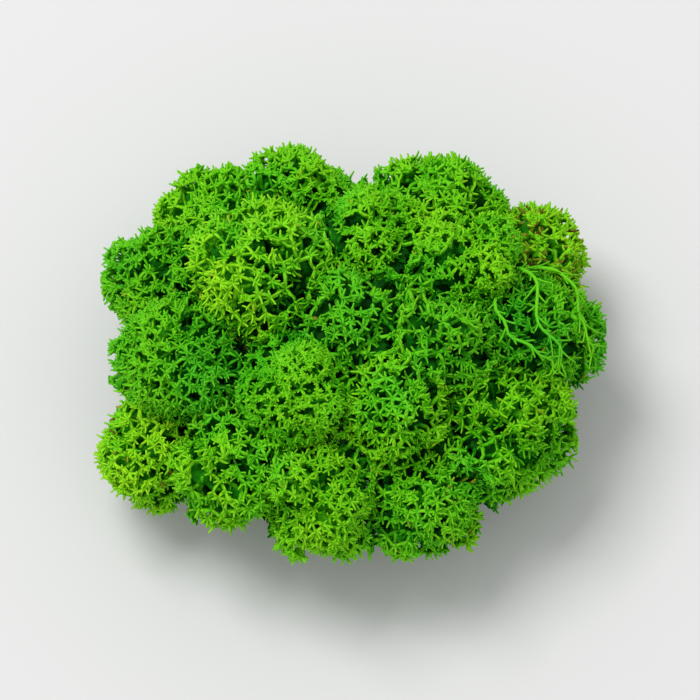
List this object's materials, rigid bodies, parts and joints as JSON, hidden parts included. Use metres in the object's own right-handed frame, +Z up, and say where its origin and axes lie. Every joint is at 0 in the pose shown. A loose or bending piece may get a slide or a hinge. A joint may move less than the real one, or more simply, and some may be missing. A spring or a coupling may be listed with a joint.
{
  "type": "reindeer moss clump",
  "caption": "Cushion of dyed green reindeer moss: stalks spread from the base and end in rounded heads of fine forked tips, resting on the feet of the inner stalks.",
  "frame": {"origin": "middle of the small flat spot that the clump rests on, at the foot of the middle head's stalk", "axes": "+Z up, +X along the clump's longest side, +Y towards its back"},
  "size_m": [0.081, 0.0694, 0.0427],
  "materials": {
    "green_head": "matte dyed lichen, bright green with lighter tips",
    "yellow_green_head": "matte dyed lichen, yellow-green tips over green",
    "dark_green_head": "matte dyed lichen, deep green with bright tips"
  },
  "bodies": {
    "root": {"head_centre": "dark_green_head", "head_lacy": "yellow_green_head", "head_back_left": "green_head", "head_back_middle": "green_head", "head_back_right": "green_head", "head_folded": "green_head", "head_yellow_rim": "yellow_green_head", "head_stranded": "dark_green_head", "head_right_inner": "dark_green_head", "head_dark_left": "dark_green_head", "head_small_left": "yellow_green_head", "head_smooth": "green_head", "head_front_inner": "green_head", "head_right_low": "green_head", "head_front_middle": "green_head", "head_front_right": "green_head", "head_front_left": "green_head", "head_left_back": "dark_green_head", "head_back_corner": "green_head"}
  },
  "joints": []
}
